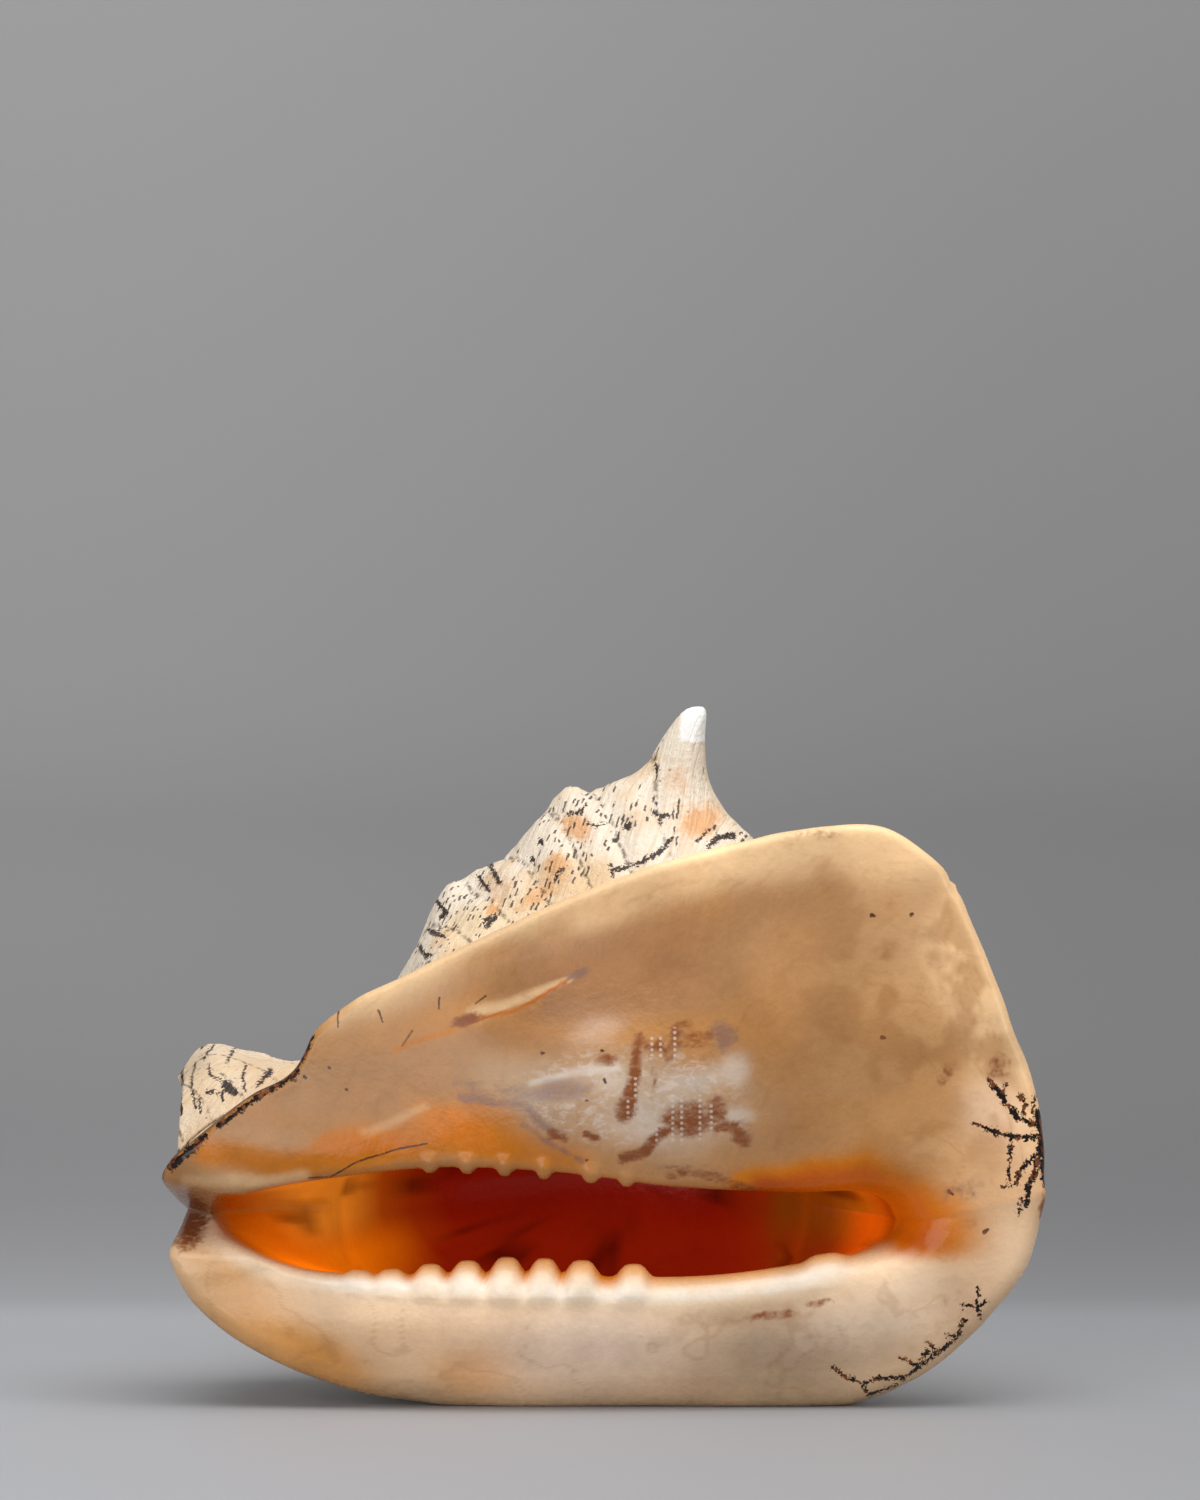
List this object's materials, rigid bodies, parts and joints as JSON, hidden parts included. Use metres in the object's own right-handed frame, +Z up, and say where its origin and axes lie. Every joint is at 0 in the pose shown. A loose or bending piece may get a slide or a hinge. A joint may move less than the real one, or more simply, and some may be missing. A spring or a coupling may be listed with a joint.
{
  "type": "helmet shell",
  "caption": "Large horned sea shell standing on its lip: flat glossy shield, long toothed mouth, horned whorl behind.",
  "frame": {"origin": "centre of the footprint, on the floor that the lip stands on", "axes": "+X from the canal notch to the spire, along the mouth; +Y from the mouth to the back; +Z up"},
  "size_m": [0.2494, 0.172, 0.1977],
  "materials": {
    "shell": "smooth glossy calcium carbonate shell, cream and orange, matt and spotted behind"
  },
  "bodies": {
    "root": {"shell": "shell"}
  },
  "joints": []
}
